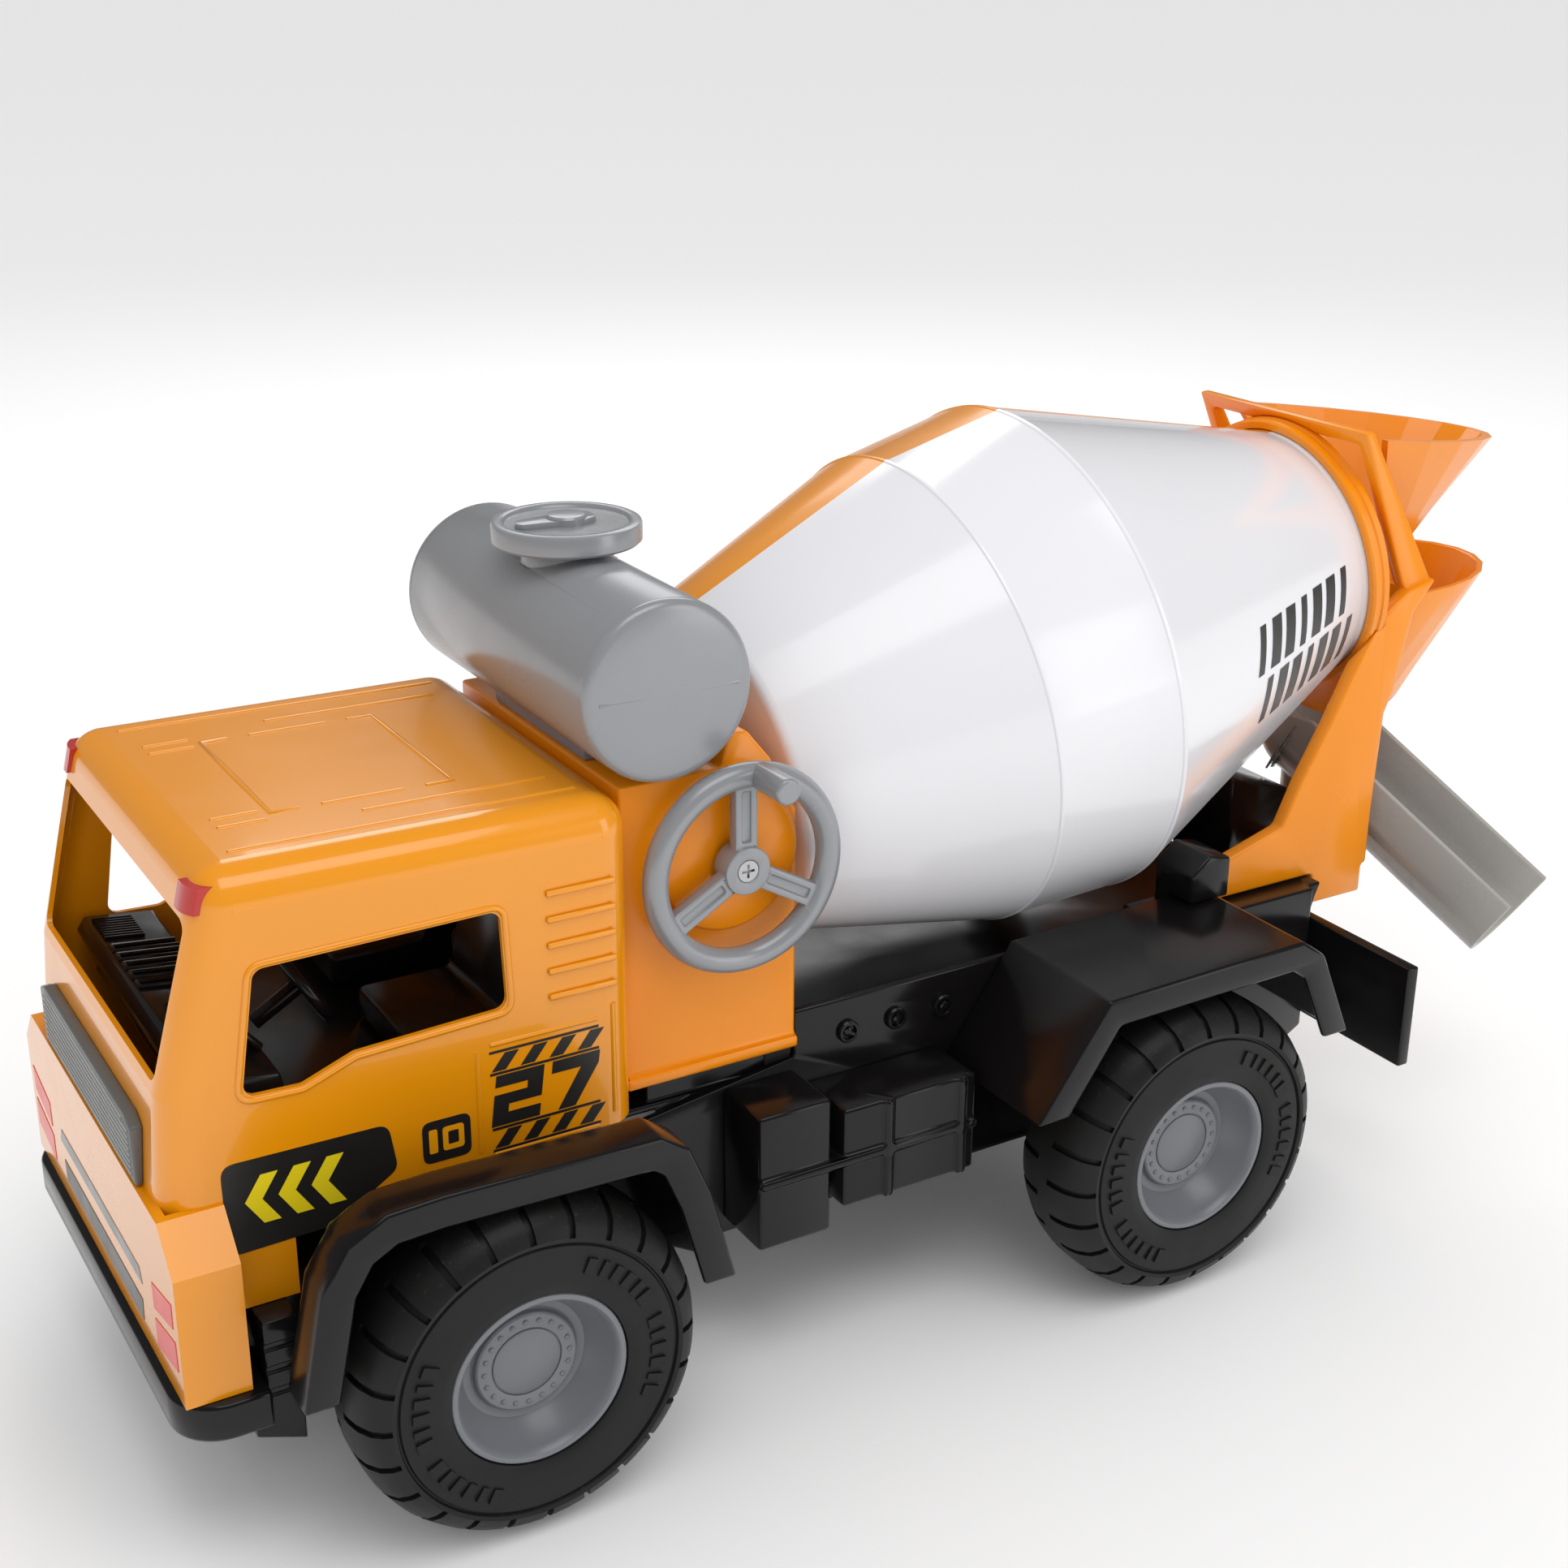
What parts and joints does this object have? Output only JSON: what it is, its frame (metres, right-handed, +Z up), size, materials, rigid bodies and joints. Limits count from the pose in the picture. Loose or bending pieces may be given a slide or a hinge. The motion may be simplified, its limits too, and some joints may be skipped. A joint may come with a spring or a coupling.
{
  "type": "toy cement mixer",
  "caption": "Toy mixer truck with a cab, a hand-cranked tilted drum, hopper, funnel and swinging discharge chute on a wheeled chassis.",
  "frame": {"origin": "on the floor under the middle of the truck's overall length and width", "axes": "+X forward towards the cab's nose, +Y to the truck's left where the handwheel is, +Z up"},
  "size_m": [0.4064, 0.17, 0.2104],
  "materials": {
    "cab_yellow": "gloss enamel",
    "moulded_yellow": "semi-gloss",
    "drum_orange": "semi-gloss",
    "drum_white": "gloss",
    "grey_plastic": "semi-gloss",
    "hub_grey": "satin",
    "tyre_black": "matte rubber",
    "steel": "plated",
    "grille_grey": "printed film",
    "red_lens": "gloss",
    "nylon": "natural",
    "cell_wrap": "gloss",
    "board_green": "solder mask",
    "speaker_black": "matte",
    "black_plastic": "semi-gloss"
  },
  "bodies": {
    "truck": {"axle_bushes": "nylon", "batteries": "cell_wrap", "battery_door": "black_plastic", "battery_tray": "black_plastic", "bumper": "black_plastic", "cab_interior": "black_plastic", "cab_louvres": "cab_yellow", "cab_shell": "cab_yellow", "chassis_frame": "black_plastic", "chassis_screws": "steel", "circuit_board": "board_green", "control_discs": "black_plastic", "drum_collar": "moulded_yellow", "drum_housing": "moulded_yellow", "front_fender_left": "black_plastic", "front_fender_right": "black_plastic", "grille_panel": "grille_grey", "lid_spring": "steel", "lower_funnel": "moulded_yellow", "pedestal": "black_plastic", "rear_fender_left": "black_plastic", "rear_fender_right": "black_plastic", "rear_plate": "black_plastic", "roof_markers": "red_lens", "seats": "black_plastic", "side_box_left": "black_plastic", "side_box_right": "black_plastic", "speaker": "speaker_black", "steering_wheel": "black_plastic", "step_panel_left": "black_plastic", "step_panel_right": "black_plastic", "support_frame": "moulded_yellow", "tank_body": "grey_plastic", "tank_cap_left": "grey_plastic", "tank_cap_right": "grey_plastic", "tank_saddle": "grey_plastic", "upper_hopper": "moulded_yellow"},
    "front_wheels": {"front_axle": "steel", "front_tyre_left": "tyre_black", "front_tyre_right": "tyre_black", "front_hub_left": "hub_grey", "front_hub_right": "hub_grey"},
    "rear_wheels": {"rear_axle": "steel", "rear_tyre_left": "tyre_black", "rear_tyre_right": "tyre_black", "rear_hub_left": "hub_grey", "rear_hub_right": "hub_grey"},
    "handwheel": {"handwheel": "grey_plastic", "crank_peg": "grey_plastic", "handwheel_screw": "steel", "handwheel_shaft": "steel", "drive_pinion": "nylon"},
    "drum": {"drum_shell_left": "drum_white", "drum_shell_right": "drum_orange", "crown_gear": "nylon", "drum_stub": "nylon", "mixing_blades": "nylon"},
    "chute": {"chute": "grey_plastic", "chute_pin": "nylon"},
    "lid": {"tank_lid": "grey_plastic"}
  },
  "joints": [
    {"name": "front_axle_spin", "type": "hinge", "parent": "truck", "child": "front_wheels", "pos_m": [0.134, 0, 0.0392], "axis": [0, 1, 0], "continuous": true},
    {"name": "rear_axle_spin", "type": "hinge", "parent": "truck", "child": "rear_wheels", "pos_m": [-0.044, 0, 0.0392], "axis": [0, 1, 0], "continuous": true},
    {"name": "drum_spin", "type": "hinge", "parent": "truck", "child": "drum", "pos_m": [0.0661, 0, 0.1275], "axis": [-0.9863, 0, 0.165], "continuous": true},
    {"name": "handwheel_spin", "type": "hinge", "parent": "truck", "child": "handwheel", "pos_m": [0.0661, 0, 0.1275], "axis": [0, 1, 0], "continuous": true},
    {"name": "chute_swivel", "type": "hinge", "parent": "truck", "child": "chute", "pos_m": [-0.15, 0, 0.09], "axis": [0, 0, 1], "range_deg": [0, 140]},
    {"name": "lid_press", "type": "slide", "parent": "truck", "child": "lid", "axis": [0, 0, -1], "range_m": [0, 0.0012], "stiffness_N_per_m": 150, "springref_m": -0.002, "deforming": ["lid_spring"]}
  ],
  "couplings": [
    {"joint": "handwheel_spin", "follows": "drum_spin", "ratio": -3}
  ]
}
